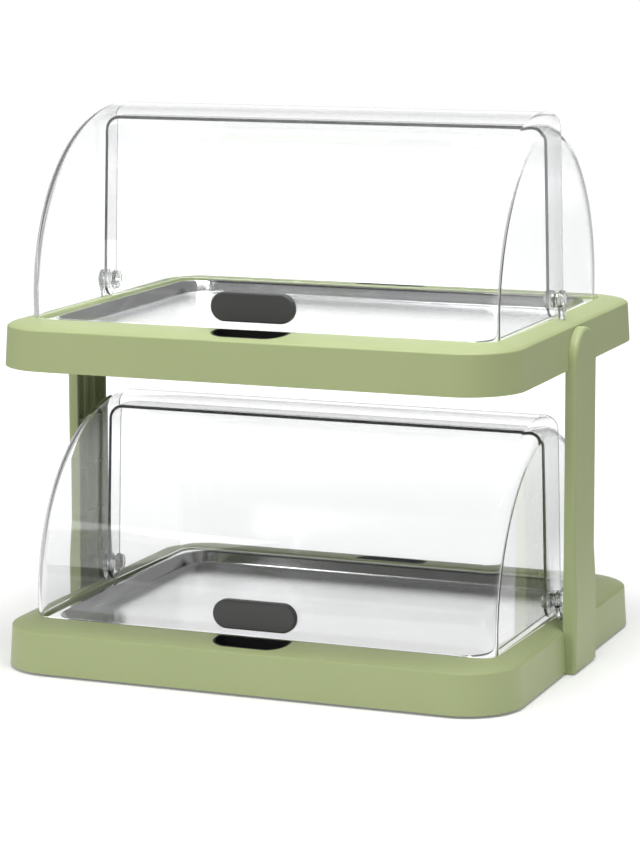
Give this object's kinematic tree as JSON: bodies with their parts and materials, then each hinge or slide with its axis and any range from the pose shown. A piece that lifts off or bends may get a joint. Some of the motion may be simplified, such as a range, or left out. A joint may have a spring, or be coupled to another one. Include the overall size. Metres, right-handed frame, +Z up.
{
  "type": "chilled roll-top display",
  "caption": "Countertop chilled display with stacked trays on side posts, steel pans over cooling packs and clear roll-top covers that open from either side.",
  "frame": {"origin": "on the table, under the centre of the base", "axes": "+X to the right along the trays, +Y from the front to the back, +Z up"},
  "size_m": [0.446, 0.3674, 0.4424],
  "materials": {
    "green_plastic": "satin sage green moulded plastic",
    "underside_plastic": "matt, a shade darker than the housing",
    "stainless_steel": "satin pressed sheet",
    "clear_plastic": "clear and glossy",
    "grip_plastic": "satin dark grey",
    "black_plastic": "matt black",
    "pack_plastic": "blown freezer pack, pale blue",
    "zinc_screw": "zinc plated",
    "foot_rubber": "matt black"
  },
  "bodies": {
    "stand": {"base_housing": "green_plastic", "upper_housing": "green_plastic", "post_left": "green_plastic", "post_right": "green_plastic", "base_underside_plate": "underside_plastic", "upper_underside_plate": "underside_plastic", "base_plate_screw_1": "zinc_screw", "base_plate_screw_2": "zinc_screw", "base_plate_screw_3": "zinc_screw", "base_plate_screw_4": "zinc_screw", "upper_plate_screw_1": "zinc_screw", "upper_plate_screw_2": "zinc_screw", "upper_plate_screw_3": "zinc_screw", "upper_plate_screw_4": "zinc_screw", "lower_left_post_screw_front": "zinc_screw", "lower_left_post_screw_rear": "zinc_screw", "lower_right_post_screw_front": "zinc_screw", "lower_right_post_screw_rear": "zinc_screw", "upper_left_post_screw_front": "zinc_screw", "upper_left_post_screw_rear": "zinc_screw", "upper_right_post_screw_front": "zinc_screw", "upper_right_post_screw_rear": "zinc_screw", "foot_front_left": "foot_rubber", "foot_front_right": "foot_rubber", "foot_rear_left": "foot_rubber", "foot_rear_right": "foot_rubber", "lower_pan": "stainless_steel", "upper_pan": "stainless_steel", "lower_cooling_pack_left": "pack_plastic", "lower_cooling_pack_right": "pack_plastic", "upper_cooling_pack_left": "pack_plastic", "upper_cooling_pack_right": "pack_plastic", "lower_front_finger_liner": "black_plastic", "lower_rear_finger_liner": "black_plastic", "upper_front_finger_liner": "black_plastic", "upper_rear_finger_liner": "black_plastic", "lower_left_pivot_bracket": "clear_plastic", "lower_right_pivot_bracket": "clear_plastic", "upper_left_pivot_bracket": "clear_plastic", "upper_right_pivot_bracket": "clear_plastic", "lower_left_pivot_knob": "clear_plastic", "lower_right_pivot_knob": "clear_plastic", "upper_left_pivot_knob": "clear_plastic", "upper_right_pivot_knob": "clear_plastic"},
    "lower_front_half": {"lower_front_cover": "clear_plastic", "lower_front_grip": "grip_plastic"},
    "lower_rear_half": {"lower_rear_cover": "clear_plastic"},
    "upper_front_half": {"upper_front_cover": "clear_plastic", "upper_front_grip": "grip_plastic"},
    "upper_rear_half": {"upper_rear_cover": "clear_plastic"}
  },
  "joints": [
    {"name": "lower_front_pivot", "type": "hinge", "parent": "stand", "child": "lower_front_half", "pos_m": [0, 0, 0.0531], "axis": [-1, 0, 0], "range_deg": [0, 88]},
    {"name": "lower_rear_pivot", "type": "hinge", "parent": "stand", "child": "lower_rear_half", "pos_m": [0, 0, 0.0531], "axis": [1, 0, 0], "range_deg": [0, 88]},
    {"name": "upper_front_pivot", "type": "hinge", "parent": "stand", "child": "upper_front_half", "pos_m": [0, 0, 0.2946], "axis": [-1, 0, 0], "range_deg": [0, 88]},
    {"name": "upper_rear_pivot", "type": "hinge", "parent": "stand", "child": "upper_rear_half", "pos_m": [0, 0, 0.2946], "axis": [1, 0, 0], "range_deg": [0, 88]}
  ]
}
